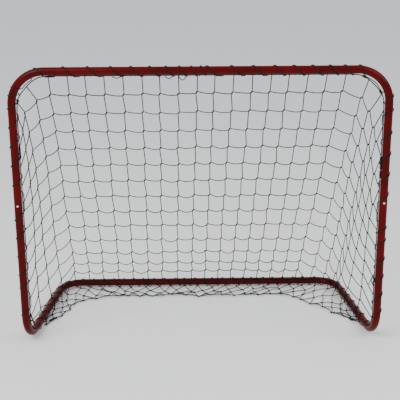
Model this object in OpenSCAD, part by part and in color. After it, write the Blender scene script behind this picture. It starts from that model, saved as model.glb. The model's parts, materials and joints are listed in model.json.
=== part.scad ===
// Knock-down steel-tube street goal with a laced net.
// Millimetres, +Z up. Origin: on the floor, in the middle of the footprint. The mouth faces -Y.

/* [Frame] */
// Width of the mouth between the upright axes
mouth_w = 1125; // [950:5:1500]
// Height of the crossbar axis over the floor
bar_h = 887.5; // [820:2.5:1200]
// Depth from the upright axes to the back bar axis
base_d = 475; // [420:5:700]
// Angle by which each base side leans in towards the back
lean_a = 7.5; // [4:0.5:10]
// Centre-line radius of the two top corners
corner_r = 100; // [80:1:130]
// Centre-line radius of the two foot bends
foot_r = 85; // [70:1:95]
// Centre-line radius of the two back corners of the base
back_r = 75; // [60:1:90]

/* [Tube] */
// Outside diameter of the tube
tube_d = 25; // [22:0.5:28]
// Wall of the tube
tube_wall = 1.2; // [1:0.1:1.5]
// Length of a plain swaged plug
plug_len = 45; // [30:1:50]
// Length of the swaged plug that holds a snap button
button_plug_len = 55; // [50:1:60]
// Length of the thickened neck where a plug leaves its tube
plug_neck = 3; // [2:0.5:5]
// How much slimmer the wall is drawn, on each face, in a bend
bend_slim = 0.05; // [0.02:0.01:0.1]
// Radial clearance of a plug in its socket
plug_gap = 0.1; // [0.05:0.01:0.1]

/* [Joints along the tubes] */
// Straight leg of a top corner, from its bend down to the seam
corner_leg = 111.5; // [90:0.5:130]
// Height of the seam between foot and upright
foot_seam_h = 445; // [400:1:470]
// Distance from the upright axis to the seam behind the foot
foot_run = 110; // [100:1:130]
// Straight leg of a back corner, from its seam to its bend
back_leg = 28.5; // [20:0.5:40]

/* [Snap buttons] */
// Diameter of the button
button_d = 8; // [7:0.5:8.5]
// How far the button stands out of the tube
button_proud = 3; // [2:0.5:3.5]
// Height of the button over its seam
button_rise = 30; // [25:1:35]
// Radial clearance of the button in its holes
button_gap = 0.1; // [0.05:0.01:0.2]
// Radius of the flange behind the button
flange_r = 5.5; // [5.2:0.1:6]
// Thickness of that flange
flange_t = 1.2; // [0.8:0.1:1.5]
// Width of the leaf spring
leaf_w = 7; // [5:0.5:8]
// Thickness of the leaf spring
leaf_t = 0.8; // [0.5:0.1:1]

/* [Net] */
// Gaps of the back net from side to side
net_cols = 18; // [14:1:20]
// Gaps of the back net from top to bottom
net_rows = 13; // [10:1:14]
// Twine thickness
twine_d = 2; // [1.5:0.1:3]
// Size of a knot, across its corners
knot_d = 4.4; // [3.5:0.1:6]
// Thickness of the border rope
rope_d = 3; // [2.5:0.1:4]
// Gap between the top edge of the net and each upright axis
net_in_top = 67.5; // [60:0.5:80]
// Gap between the bottom corner of the net and the corner of the base
net_in_low = 40; // [30:0.5:50]
// Droop of a crosswise strand in the lowest row
net_sag = 6; // [0:0.5:8]
// Forward step of the side nets' slanting strands
side_step = 75; // [65:1:90]
// Fall of the side nets' rows for each unit they run forward
side_fall = 0.373; // [0.3:0.005:0.42]
// Width of the spare netting that lies on the floor
skirt_w = 64; // [50:1:80]
// Mesh of that gathered netting
skirt_mesh = 21; // [16:1:28]

/* [Lacing] */
// Thickness of the lacing cord
lace_d = 3.5; // [3:0.1:4]
// Seat between soft pieces and what they lie on
seat = 0.3; // [0.2:0.05:0.4]
// Loops of lacing for each mesh along the back bar
back_loops_per_mesh = 2; // [1:1:2]
// Pitch of the lacing along the base sides
side_pitch = 27; // [22:1:34]

/* [Hidden] */

red = [0.45, 0.06, 0.07];
black = [0.08, 0.08, 0.09];
steel = [0.75, 0.75, 0.77];

// Tube sections
tube_r = tube_d / 2;
bore_r = tube_r - tube_wall;
plug_r = bore_r - plug_gap;
plug_bore_r = plug_r - tube_wall;
button_r = button_d / 2;

// Lacing loops go round the tube and the border rope together.
loop_steps = 8;
cord_sides = 5;
rope_at = tube_r + seat + rope_d / 2;
loop_reach = rope_at + rope_d / 2 + seat;
loop_clear = (tube_r + seat + loop_reach) / 2;
loop_shift = (loop_reach - tube_r - seat) / 2;
loop_r = (loop_clear + lace_d / 2) / cos(180 / loop_steps);
diag = sqrt(0.5);
rope_in = rope_at * diag;

// The base stands on its lacing, which is cut flat by a tenth of its thickness.
base_h = loop_r + lace_d / 2 - loop_shift * diag - lace_d / 10;

// Frame layout, for the left half; the right half is its mirror.
front_y = -base_d / 2;
back_y = base_d / 2;
side_len = base_d / cos(lean_a);
back_turn = 90 - lean_a;
back_tangent = back_r * tan(back_turn / 2);
back_half_w = mouth_w / 2 - base_d * tan(lean_a);
top_straight = mouth_w / 2 - corner_r;
back_straight = back_half_w - back_tangent;
side_bend_at = side_len - back_tangent;
elbow_h = bar_h - corner_r;
top_seam_h = elbow_h - corner_leg;
back_seam_at = side_bend_at - back_leg;
button_h = foot_seam_h + button_rise;

// Length by which a bend runs into the wall of the straight stretch beside it
bend_lap = 0.5;

// ---- tube pieces ----

module tube(len) {
    difference() {
        cylinder(h = len, r = tube_r, $fn = 64);
        translate([0, 0, -1]) cylinder(h = len + 2, r = bore_r, $fn = 64);
    }
}

// A bend of centre-line radius r, lapped at both ends
module bend(r, turn) {
    lap = bend_lap / r * 180 / PI;
    rotate([0, 0, -lap]) rotate_extrude(angle = turn + 2 * lap, $fn = 96)
        translate([r, 0]) children();
}

module tube_bend(r, turn) {
    bend(r, turn) difference() {
        circle(r = tube_r - bend_slim, $fn = 64);
        circle(r = bore_r + bend_slim, $fn = 64);
    }
}

// Swaged end: a neck inside the tube's own wall, then a plug with a chamfered tip.
module swage(len) {
    neck_r = tube_r - tube_wall / 2;
    tip = tube_wall * 0.7;
    rotate_extrude($fn = 96) polygon([
        [plug_bore_r, -plug_neck], [neck_r, -plug_neck], [neck_r, 0], [plug_r, 0],
        [plug_r, len - tip], [plug_r - tip, len], [plug_bore_r, len]]);
}

module at_upright() {
    translate([-mouth_w / 2, front_y, 0]) children();
}

// Local frame of the left base side: origin under the upright, +Y along the tube.
module on_side() {
    at_upright() rotate([0, 0, -lean_a]) children();
}

// Frame of the left back corner: origin at the centre of its bend, +X along the back bar.
module at_back_bend() {
    translate([-back_straight, back_y - back_r, 0]) children();
}

// The same, turned so that +Y runs back along the base side
module at_side_bend() {
    at_back_bend() rotate([0, 0, -lean_a]) children();
}

module along_y() {
    rotate([-90, 0, 0]) children();
}

module along_x() {
    rotate([0, 90, 0]) children();
}

module top_corner(plugged) {
    color(red) {
        translate([-top_straight, front_y, bar_h]) along_x() tube(top_straight);
        translate([-top_straight, front_y, elbow_h])
            rotate([90, 0, 0]) rotate([0, 0, 90]) tube_bend(corner_r, 90);
        translate([0, 0, top_seam_h]) at_upright() tube(corner_leg);
        if (plugged) translate([0, front_y, bar_h]) along_x() swage(plug_len);
    }
}

module button_hole() {
    translate([0, 0, button_h]) rotate([90, 0, 0])
        cylinder(h = tube_d, r = button_r + button_gap, $fn = 48);
}

module upright() {
    color(red) at_upright() difference() {
        union() {
            translate([0, 0, foot_seam_h]) tube(top_seam_h - foot_seam_h);
            translate([0, 0, top_seam_h]) swage(plug_len);
        }
        button_hole();
    }
}

module foot() {
    bend_h = base_h + foot_r;
    color(red) {
        difference() {
            on_side() {
                translate([0, 0, bend_h]) tube(foot_seam_h - bend_h);
                translate([0, 0, foot_seam_h]) swage(button_plug_len);
                translate([0, foot_r, bend_h])
                    rotate([90, 0, 90]) rotate([0, 0, 180]) tube_bend(foot_r, 90);
                translate([0, foot_r, base_h]) along_y() tube(foot_run - foot_r);
                translate([0, foot_run, base_h]) along_y() swage(plug_len);
            }
            at_upright() button_hole();
        }
    }
}

module base_side() {
    color(red) on_side() translate([0, foot_run, base_h])
        along_y() tube(back_seam_at - foot_run);
}

module back_corner(plugged) {
    color(red) {
        at_side_bend() translate([-back_r, -back_leg, base_h]) {
            along_y() tube(back_leg);
            rotate([90, 0, 0]) swage(plug_len);
        }
        at_back_bend() {
            translate([0, 0, base_h]) rotate([0, 0, 90]) tube_bend(back_r, back_turn);
            translate([0, back_r, base_h]) along_x() tube(back_straight);
        }
        if (plugged) translate([0, back_y, base_h]) along_x() swage(plug_len);
    }
}

// ---- snap button: a domed pin with a flange, on a V-shaped leaf spring inside the plug ----

flange_y = -sqrt(plug_bore_r * plug_bore_r - flange_r * flange_r) + 0.2;
leaf_y = flange_y + flange_t + 0.1;

module snap_button() {
    dome_at = tube_r + button_proud - button_r;
    color(steel) at_upright() translate([0, 0, button_h]) rotate([90, 0, 0])
        rotate_extrude($fn = 48) {
            translate([0, -flange_y - flange_t]) square([flange_r, flange_t]);
            translate([0, -flange_y - flange_t]) square([button_r, dome_at + flange_y + flange_t]);
            intersection() {
                translate([0, dome_at]) circle(r = button_r, $fn = 48);
                translate([0, dome_at]) square([button_r, button_r]);
            }
        }
}

module leaf_spring() {
    bend_r = 3;
    drop = 22;
    rise = 18;
    far_y = sqrt(plug_bore_r * plug_bore_r - leaf_w * leaf_w / 4) - 0.15;
    back_leg_y = leaf_y + 2 * bend_r - leaf_t;
    color(steel) at_upright() translate([-leaf_w / 2, 0, button_h])
        rotate([90, 0, 90]) linear_extrude(leaf_w) {
            translate([leaf_y, -drop]) square([leaf_t, drop + flange_r]);
            translate([leaf_y + bend_r, -drop]) difference() {
                circle(r = bend_r, $fn = 48);
                circle(r = bend_r - leaf_t, $fn = 48);
                translate([-2 * bend_r, 0]) square([4 * bend_r, 2 * bend_r]);
            }
            polygon([[back_leg_y, -drop], [back_leg_y + leaf_t, -drop],
                [far_y, rise], [far_y - leaf_t, rise]]);
        }
}

// ---- border rope: follows the frame inside, at 45 degrees towards the net ----

module rope(len) {
    cylinder(h = len, r = rope_d / 2, $fn = 24);
}

module rope_bend(r, turn) {
    bend(r, turn) circle(r = rope_d / 2 - bend_slim, $fn = 24);
}

module front_rope_half() {
    low = base_h + foot_r + 1;
    translate([0, rope_in, 0]) {
        translate([-top_straight, front_y, bar_h - rope_in]) along_x() rope(top_straight);
        translate([-top_straight, front_y, elbow_h])
            rotate([90, 0, 0]) rotate([0, 0, 90]) rope_bend(corner_r - rope_in, 90);
        translate([rope_in, 0, low]) at_upright() rope(elbow_h - low);
    }
}

module base_rope_half() {
    r = back_r - rope_in;
    run = side_bend_at - foot_r;
    at_side_bend() translate([-r, -run, base_h]) {
        translate([0, 0, foot_r])
            rotate([90, 0, 90]) rotate([0, 0, 180]) rope_bend(foot_r - rope_in, 90);
        translate([0, 0, rope_in]) along_y() rope(run);
    }
    at_back_bend() translate([0, 0, base_h + rope_in]) {
        rotate([0, 0, 90]) rope_bend(r, back_turn);
        translate([0, r, 0]) along_x() rope(back_straight);
    }
}

module border_rope_front() {
    color(black) {
        front_rope_half();
        mirror([1, 0, 0]) front_rope_half();
    }
}

module border_rope_base() {
    color(black) {
        base_rope_half();
        mirror([1, 0, 0]) base_rope_half();
    }
}

// ---- back net: flat, in the plane through the rope under the crossbar and the rope at the back bar ----

net_top = [0, front_y + rope_in, bar_h - rope_in];
net_low = [0, back_y - rope_in, base_h + rope_in];
net_len = norm(net_low - net_top);
net_dir = (net_low - net_top) / net_len;
net_top_w = mouth_w / 2 - net_in_top;
net_low_w = back_half_w - net_in_low;
row_gap = net_len / net_rows;
rope_clear = rope_d / 2 + seat;

// Half width of the back net at a distance s down its slope
function edge_x(s) = net_top_w + (net_low_w - net_top_w) * s / net_len;
// Where a column starts and ends: the rope drops along the top corners and cuts the back corners.
function bend_drop(x, straight, r) =
    abs(x) <= straight ? 0 : r - sqrt(r * r - pow(abs(x) - straight, 2));
function column_top(x) = rope_clear + bend_drop(x, top_straight, corner_r - rope_in) / -net_dir.z;
function column_low(x) =
    net_len - rope_clear - bend_drop(x, back_straight, back_r - rope_in) / net_dir.y;
// Droop of row k, small near the top and full in the lowest row
function row_sag(k) = net_sag * (0.2 + 0.8 * pow(k / net_rows, 2));

module net_back() {
    color(black) translate(net_top) rotate([atan2(net_dir.z, net_dir.y), 0, 0])
        linear_extrude(twine_d, center = true) {
            for (i = [0:net_cols]) {
                f = 2 * i / net_cols - 1;
                s0 = column_top(f * net_top_w);
                s1 = column_low(f * net_low_w);
                x0 = f * edge_x(s0);
                x1 = f * edge_x(s1);
                polygon([[x0 - twine_d / 2, s0], [x0 + twine_d / 2, s0],
                    [x1 + twine_d / 2, s1], [x1 - twine_d / 2, s1]]);
            }
            for (k = [1:net_rows - 1]) {
                s = k * row_gap;
                line = [for (j = [0:2 * net_cols])
                    [(j / net_cols - 1) * edge_x(s), s + (j % 2) * row_sag(k)]];
                polygon(concat([for (p = line) p - [0, twine_d / 2]],
                    [for (j = [2 * net_cols:-1:0]) line[j] + [0, twine_d / 2]]));
                for (i = [0:net_cols])
                    translate([(2 * i / net_cols - 1) * edge_x(s), s])
                        polygon(knot_d / 2 * [[1, 0], [0, 1], [-1, 0], [0, -1]]);
            }
        }
}

// ---- side nets: rows fall forward from the back net's edge, and slanting strands run beside that edge ----

rope_x = -mouth_w / 2 + rope_in;
lean_t = tan(lean_a);
side_rope_x = -mouth_w / 2 + rope_in / cos(lean_a);
side_floor_h = base_h + rope_in;
function corner_node(k) = net_top + net_dir * k * row_gap - [edge_x(k * row_gap), 0, 0];
// The end of row k, on the upright's rope or, where it comes too low, on the base rope
upright_low = base_h + foot_r;
function base_rope_point(y) = [side_rope_x + (y - front_y) * lean_t, y, side_floor_h];
function row_end(k) =
    let (a = corner_node(k), run = a.y - net_top.y, z = a.z - side_fall * run)
    z > upright_low ? [rope_x, net_top.y, z]
        : base_rope_point(a.y - (a.z - side_floor_h) / side_fall);
function row_run(k) = corner_node(k).y - max(row_end(k).y, net_top.y);
function on_row(k, run) =
    let (a = corner_node(k), b = row_end(k)) a + (b - a) * run / (a.y - b.y);
// Rows whose lower end would fall inside the foot bend are left out.
function row_fits(k) =
    let (e = row_end(k)) e.z > upright_low || e.y > front_y + foot_r + twine_d;
net_rise = -net_dir.z / net_dir.y;

module strand(a, b, from_a, from_b) {
    v = b - a;
    u = v / norm(v);
    translate(a + u * from_a) rotate([0, acos(u.z), atan2(u.y, u.x)])
        cylinder(h = norm(v) - from_a - from_b, r = twine_d / 2, $fn = 6);
}

module net_side() {
    edge_gap = twine_d * 1.1 + seat;
    color(black) {
        for (k = [1:net_rows - 1])
            if (row_fits(k)) strand(corner_node(k), row_end(k), edge_gap, rope_clear + twine_d / 4);
        for (j = [1:floor((net_low.y - net_top.y) / side_step)]) {
            run = j * side_step;
            rows = [for (k = [1:net_rows - 1])
                if (row_fits(k) && row_run(k) > run + side_step / 6) k];
            if (len(rows) > 1) {
                top = on_row(rows[0], run);
                low = on_row(rows[len(rows) - 1], run);
                up_end = [rope_x, net_top.y, top.z + (top.y - net_top.y) * net_rise];
                low_end = base_rope_point(low.y + (low.z - side_floor_h) / net_rise);
                strand(up_end, top, rope_clear + twine_d / 4, 0);
                for (m = [1:len(rows) - 1])
                    strand(on_row(rows[m - 1], run), on_row(rows[m], run), 0, 0);
                strand(low, low_end, 0, rope_clear + twine_d / 4);
            }
        }
    }
}

// ---- skirt: spare netting gathered flat on the floor inside the base ----

// Its edge lies under the bar, where the lowest stretch of each lacing loop rises clear of it.
loop_low_h = lace_d / 2 - lace_d / 10;
loop_rise = 180 / loop_steps;
skirt_at = loop_shift * diag
    + (lace_d / 2 + seat + (twine_d - loop_low_h) * cos(loop_rise)) / sin(loop_rise);

// A strip of netting from x = 0 to len and y = 0 to skirt_w, with a scalloped free edge
module skirt_strip(len) {
    cols = round(len / skirt_mesh);
    rows = 3;
    dx = len / cols;
    dy = skirt_w / rows;
    linear_extrude(twine_d) {
        for (i = [0:cols])
            translate([i * dx - twine_d / 2, 0]) square([twine_d, skirt_w - (i % 2) * dy / 2]);
        for (k = [0:rows]) {
            line = [for (i = [0:cols]) [i * dx, k * dy - (i % 2) * dy / 2 * (k == 0 ? 0 : 1)]];
            polygon(concat([for (p = line) p - [0, twine_d / 2 * (k == 0 ? 0 : 1)]],
                [for (i = [cols:-1:0]) line[i] + [0, twine_d / 2]]));
        }
    }
}

module net_skirt_back() {
    len = 2 * (back_straight - skirt_w / 2);
    color(black) translate([len / 2, back_y - skirt_at, 0]) rotate([0, 0, 180]) skirt_strip(len);
}

module net_skirt_side() {
    len = side_bend_at - foot_run - skirt_w;
    color(black) on_side() translate([skirt_at, foot_run + len, 0]) rotate([0, 0, -90])
        skirt_strip(len);
}

// ---- lacing: one cord wound round the tube and the border rope together ----

bar_pitch = 2 * net_top_w / net_cols;
post_pitch = 0.75 * (row_gap * (-net_dir.z + side_fall * net_dir.y));
back_pitch = 2 * net_low_w / net_cols / back_loops_per_mesh;
elbow_len = corner_r * PI / 2;
post_len = elbow_h - upright_low - lace_d;
top_len = top_straight + elbow_len + post_len;
bar_turns = (top_straight - bar_pitch / 2) / bar_pitch;
elbow_turns = 11 - bar_turns;
back_arc = back_r * back_turn * PI / 180;
side_start = foot_r + lace_d;
side_straight = side_bend_at - side_start;

// Position and inward normal along the left half of the mouth, from the middle of the crossbar
function top_frame(s) =
    s <= top_straight ? [[-s, front_y, bar_h], [0, 0, -1]]
    : s <= top_straight + elbow_len ?
        let (a = (s - top_straight) / corner_r * 180 / PI, n = [sin(a), 0, -cos(a)])
        [[-top_straight, front_y, elbow_h] - corner_r * n, n]
    : [[-mouth_w / 2, front_y, elbow_h - (s - top_straight - elbow_len)], [1, 0, 0]];
// Turns made by s; a whole number falls midway between two columns, or clear of the side rows.
function top_turns(s) =
    s <= top_straight ? (s - bar_pitch / 2) / bar_pitch
    : s <= top_straight + elbow_len ? bar_turns + elbow_turns * (s - top_straight) / elbow_len
    : 11 + (s - top_straight - elbow_len) / post_pitch;
// The same for the base side and its back corner, from behind the foot
side_dir = [sin(lean_a), cos(lean_a), 0];
side_in = [cos(lean_a), -sin(lean_a), 0];
under_upright = [-mouth_w / 2, front_y, base_h];
function side_frame(s) =
    s <= side_straight ? [under_upright + side_dir * (side_start + s), side_in]
    : let (a = (s - side_straight) / back_r * 180 / PI,
        n = side_in * cos(a) - side_dir * sin(a),
        c = under_upright + side_dir * side_bend_at + side_in * back_r) [c - n * back_r, n];
function back_frame(s) = [[-s, back_y, base_h], [0, -1, 0]];

// Cord centre at turn t round the tube at frame f, with b across the inward normal
function loop_point(f, b, t) =
    f[0] + (f[1] + b) * diag * loop_shift
    + loop_r * (cos(45 + 360 * t) * f[1] + sin(45 + 360 * t) * b);

function unit(v) = v / norm(v);
function least_gap(pts, d) =
    min([for (i = [0:len(pts) - 1 - loop_steps + 2])
        for (j = [i + loop_steps - 2:min(len(pts) - 1, i + 2 * loop_steps)])
            norm(pts[i] - pts[j])]) - d;

// One unbroken cord through pts; centres are the points that its rings turn round.
module cord(pts, centres, d) {
    n = len(pts);
    rings = [for (i = [0:n - 1])
        let (t = unit(pts[min(i + 1, n - 1)] - pts[max(i - 1, 0)]),
            out = pts[i] - centres[i],
            u = unit(out - t * (out * t)),
            w = cross(t, u))
        for (k = [0:cord_sides - 1])
            pts[i] + d / 2 * (cos(360 * k / cord_sides) * u + sin(360 * k / cord_sides) * w)];
    sides = [for (i = [0:n - 2]) for (k = [0:cord_sides - 1])
        let (a = i * cord_sides + k, b = i * cord_sides + (k + 1) % cord_sides)
        for (f = [[a, a + cord_sides, b], [b, a + cord_sides, b + cord_sides]]) f];
    caps = [for (k = [1:cord_sides - 2])
        for (f = [[0, k, k + 1],
            [(n - 1) * cord_sides, (n - 1) * cord_sides + k + 1, (n - 1) * cord_sides + k]]) f];
    polyhedron(points = rings, faces = concat(sides, caps));
}

module lacing_top() {
    stations = [for (m = [ceil(top_turns(bar_pitch / 8) * loop_steps)
        : floor(top_turns(top_len) * loop_steps)]) m / loop_steps];
    at = [for (t = stations)
        t <= bar_turns ? bar_pitch / 2 + t * bar_pitch
        : t <= 11 ? top_straight + elbow_len * (t - bar_turns) / elbow_turns
        : top_straight + elbow_len + (t - 11) * post_pitch];
    frames = [for (s = at) top_frame(s)];
    pts = [for (i = [0:len(at) - 1]) loop_point(frames[i], [0, 1, 0], stations[i])];
    echo(str("lacing_top least gap to itself ", least_gap(pts, lace_d), " mm"));
    color(black) cord(pts, [for (f = frames) f[0]], lace_d);
}

module flat_on_floor() {
    size = 2 * (mouth_w + base_d);
    difference() {
        children();
        translate([-size / 2, -size / 2, -size]) cube(size);
    }
}

module lacing_side() {
    turns = floor((side_straight + back_arc - lace_d) / side_pitch);
    stations = [for (m = [0:turns * loop_steps]) m / loop_steps];
    frames = [for (t = stations) side_frame(t * side_pitch)];
    pts = [for (i = [0:len(frames) - 1])
        loop_point(frames[i], [0, 0, 1], stations[i] - 0.5)];
    echo(str("lacing_side least gap to itself ", least_gap(pts, lace_d), " mm"));
    color(black) flat_on_floor() cord(pts, [for (f = frames) f[0]], lace_d);
}

module lacing_back() {
    turns = floor((back_straight - back_pitch / 2) / back_pitch);
    stations = [for (m = [ceil(-loop_steps * 0.25):turns * loop_steps]) m / loop_steps];
    frames = [for (t = stations) back_frame(back_pitch / 2 + t * back_pitch)];
    pts = [for (i = [0:len(frames) - 1]) loop_point(frames[i], [0, 0, 1], stations[i])];
    echo(str("lacing_back least gap to itself ", least_gap(pts, lace_d), " mm"));
    color(black) flat_on_floor() cord(pts, [for (f = frames) f[0]], lace_d);
}

module right() {
    mirror([1, 0, 0]) children();
}

top_corner(true);  // top_corner_left
right() top_corner(false);  // top_corner_right
upright();  // upright_left
right() upright();  // upright_right
foot();  // foot_left
right() foot();  // foot_right
base_side();  // base_side_left
right() base_side();  // base_side_right
back_corner(true);  // back_corner_left
right() back_corner(false);  // back_corner_right
snap_button();  // snap_button_left
right() snap_button();  // snap_button_right
leaf_spring();  // leaf_spring_left
right() leaf_spring();  // leaf_spring_right
border_rope_front();
border_rope_base();
net_back();
net_side();  // net_side_left
right() net_side();  // net_side_right
net_skirt_back();
net_skirt_side();  // net_skirt_left
right() net_skirt_side();  // net_skirt_right
lacing_top();  // lacing_top_left
right() lacing_top();  // lacing_top_right
lacing_side();  // lacing_side_left
right() lacing_side();  // lacing_side_right
lacing_back();  // lacing_back_left
right() lacing_back();  // lacing_back_right
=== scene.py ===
# %% [markdown]
# # A knock-down street hockey goal
# The goal is a frame of ten red steel tubes that plug into each other, with a laced twine net. The
# frame's solids come packed from the CAD part. Blender adds what a solid can't say: paint, twisted rope,
# knotted twine that sags, and a lacing cord wound by hand. This first cell loads the imported frame and
# gives a way to read the box of any of its parts. The dressed goal has to stay inside it.

# %% Load the frame
import json
import math
import random

import bmesh
import bpy
from mathutils import Matrix, Vector


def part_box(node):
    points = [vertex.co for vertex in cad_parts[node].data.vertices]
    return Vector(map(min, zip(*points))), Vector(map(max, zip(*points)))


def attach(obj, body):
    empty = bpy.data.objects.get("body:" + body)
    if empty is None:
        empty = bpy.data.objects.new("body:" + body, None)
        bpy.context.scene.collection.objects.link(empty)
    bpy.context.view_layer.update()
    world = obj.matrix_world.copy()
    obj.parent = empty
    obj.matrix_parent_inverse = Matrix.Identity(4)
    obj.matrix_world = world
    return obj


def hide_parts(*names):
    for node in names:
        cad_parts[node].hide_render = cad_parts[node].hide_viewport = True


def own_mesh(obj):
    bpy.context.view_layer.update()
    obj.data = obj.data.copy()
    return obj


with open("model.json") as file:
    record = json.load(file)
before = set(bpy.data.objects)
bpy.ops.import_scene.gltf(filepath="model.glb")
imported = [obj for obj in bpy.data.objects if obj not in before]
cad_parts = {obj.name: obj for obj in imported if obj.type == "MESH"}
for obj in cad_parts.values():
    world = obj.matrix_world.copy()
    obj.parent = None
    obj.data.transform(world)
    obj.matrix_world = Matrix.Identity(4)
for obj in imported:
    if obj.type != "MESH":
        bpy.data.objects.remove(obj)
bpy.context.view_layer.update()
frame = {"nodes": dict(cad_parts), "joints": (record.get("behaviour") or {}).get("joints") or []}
nodes = frame["nodes"]

# %% [markdown]
# ## The camera
# The viewer stands a little left of the middle and 2.7 m in front of the mouth, at chest height, and
# looks down by about 18 degrees. A long lens keeps the crossbar straight. The angles are set as turns
# about the axes, in the order roll, then tip down, then pan.

# %% Camera
EYE = Vector((-0.0400, -2.9069, 1.3372))
TIP_DOWN = math.radians(17.60)
PAN_RIGHT = math.radians(0.774)
ROLL = math.radians(-0.258)
SENSOR = 36.0
LENS = 81.95
SHIFT_UP = -0.0025

camera = bpy.data.objects.new("camera", bpy.data.cameras.new("camera"))
camera.data.sensor_width = SENSOR
camera.data.lens = LENS
camera.data.shift_y = SHIFT_UP
camera.matrix_world = (
    Matrix.Translation(EYE)
    @ Matrix.Rotation(-PAN_RIGHT, 4, "Z")
    @ Matrix.Rotation(math.pi / 2 - TIP_DOWN, 4, "X")
    @ Matrix.Rotation(ROLL, 4, "Z")
)
bpy.context.scene.collection.objects.link(camera)
bpy.context.scene.camera = camera
print("camera at", tuple(round(v, 3) for v in EYE))

# %% [markdown]
# ## Floor and light
# The goal stands on a plain pale floor that runs out of sight, so nothing competes with the thin dark
# net. A net this thin needs an even, bright ground more than it needs drama: the sky is a soft pale grey,
# one large panel above the viewer's left shoulder gives the tubes a long soft highlight, and a weaker one
# fills the right.

# %% Floor and lights
FLOOR_HALF = 60.0
FLOOR_GREY = (0.86, 0.86, 0.85, 1.0)
FLOOR_ROUGHNESS = 0.75
SKY_GREY = (0.93, 0.95, 1.0, 1.0)
SKY_STRENGTH = 0.95

floor_mesh = bpy.data.meshes.new("floor")
floor_build = bmesh.new()
bmesh.ops.create_grid(floor_build, x_segments=1, y_segments=1, size=FLOOR_HALF)
floor_build.to_mesh(floor_mesh)
floor_build.free()
floor = bpy.data.objects.new("floor", floor_mesh)
bpy.context.scene.collection.objects.link(floor)

floor_paint = bpy.data.materials.new("pale_floor")
floor_paint.use_nodes = True
floor_paint.node_tree.nodes["Principled BSDF"].inputs["Base Color"].default_value = FLOOR_GREY
floor_paint.node_tree.nodes["Principled BSDF"].inputs["Roughness"].default_value = FLOOR_ROUGHNESS
floor_mesh.materials.append(floor_paint)

sky = bpy.data.worlds.new("sky")
sky.use_nodes = True
sky.node_tree.nodes["Background"].inputs["Color"].default_value = SKY_GREY
sky.node_tree.nodes["Background"].inputs["Strength"].default_value = SKY_STRENGTH
bpy.context.scene.world = sky


def soft_panel(name, place, aim, size, power):
    """A square light panel that faces a point."""
    light = bpy.data.lights.new(name, "AREA")
    light.size = size
    light.energy = power
    panel = bpy.data.objects.new(name, light)
    panel.location = place
    panel.rotation_euler = (Vector(aim) - Vector(place)).to_track_quat("-Z", "Y").to_euler()
    bpy.context.scene.collection.objects.link(panel)


GOAL_MIDDLE = (0, 0, 0.4)
soft_panel("key_panel", place=(-2.2, -2.6, 3.6), aim=GOAL_MIDDLE, size=2.4, power=150)
soft_panel("fill_panel", place=(2.6, -1.6, 2.6), aim=GOAL_MIDDLE, size=2.0, power=55)

# %% [markdown]
# ## Writing finishes as sums
# A finish is a tree of nodes, and most of its nodes are plain arithmetic. The small class below wraps a
# socket so that the arithmetic can be written as Python, such as `1 - mask`. Every other node comes from
# `Finish.node`, which sets the node's own settings first and its sockets after.


# %% Shader helpers
class Wire:
    """A value that runs through a finish's node tree."""

    def __init__(self, finish, socket):
        self.finish = finish
        self.socket = socket

    def sum(self, operation, *values):
        return self.finish.node("ShaderNodeMath", {"operation": operation}, dict(enumerate(values)))

    def __add__(self, other):
        return self.sum("ADD", self, other)

    def __sub__(self, other):
        return self.sum("SUBTRACT", self, other)

    def __rsub__(self, other):
        return self.sum("SUBTRACT", other, self)

    def __mul__(self, other):
        return self.sum("MULTIPLY", self, other)

    __radd__ = __add__
    __rmul__ = __mul__

    def sine(self):
        return self.sum("SINE", self)

    def between(self, low, high):
        """0 below low, 1 above high, and a smooth step from one to the other."""
        settings = {"interpolation_type": "SMOOTHSTEP"}
        return self.finish.node("ShaderNodeMapRange", settings, {0: self, 1: low, 2: high})


class Finish:
    """A material, with its shader's fixed values and the tree that feeds it."""

    def __init__(self, name, slot, **fixed):
        self.material = bpy.data.materials.new(name)
        self.material.use_nodes = True
        self.slot = slot
        self.tree = self.material.node_tree
        self.shader = self.tree.nodes["Principled BSDF"]
        for socket, value in fixed.items():
            self.shader.inputs[self.label(socket)].default_value = value

    @staticmethod
    def label(name):
        """The shader's own name for a socket: base_color is Base Color, and IOR keeps its capitals."""
        return name.replace("_", " ").title().replace("Ior", "IOR")

    def put(self, socket, value):
        """Links a wire to a socket, or sets the socket to a plain value."""
        if isinstance(value, Wire):
            self.tree.links.new(value.socket, socket)
        else:
            socket.default_value = value

    def node(self, kind, settings=None, sockets=None, out=0):
        """Adds a node, applies its settings, then its sockets, and returns one of its outputs."""
        made = self.tree.nodes.new(kind)
        for key, value in (settings or {}).items():
            setattr(made, key, value)
        for key, value in (sockets or {}).items():
            self.put(made.inputs[key], value)
        return Wire(self, made.outputs[out])

    def feed(self, **wires):
        for socket, value in wires.items():
            self.put(self.shader.inputs[self.label(socket)], value)

    def place(self):
        """Object coordinates, in metres."""
        return self.node("ShaderNodeTexCoord", out="Object")

    def noise(self, scale, detail, rough=0.5):
        sockets = {"Vector": self.place(), "Scale": scale, "Detail": detail, "Roughness": rough}
        return self.node("ShaderNodeTexNoise", None, sockets)

    def mix(self, share, low, high):
        """A colour between two colours."""
        return self.node("ShaderNodeMix", {"data_type": "RGBA"}, {0: share, 6: low, 7: high}, out=2)

    def bump(self, height, strength, distance):
        sockets = {"Height": height, "Strength": strength, "Distance": distance}
        return self.node("ShaderNodeBump", None, sockets)


# %% [markdown]
# ## Red powder coat
# The tubes have a deep red powder coat. Sprayed powder melts into a skin that is smooth but never flat:
# it has a fine orange peel, about two millimetres across. Small scuffs are scattered over it, duller and
# a little greyer. Noise at three scales gives the peel, the scuffs and slow clouds in the red, so no
# picture is needed. The red itself is very dark and saturated, and its gloss is kept weak, so that the
# pale surroundings don't wash it out.


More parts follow.
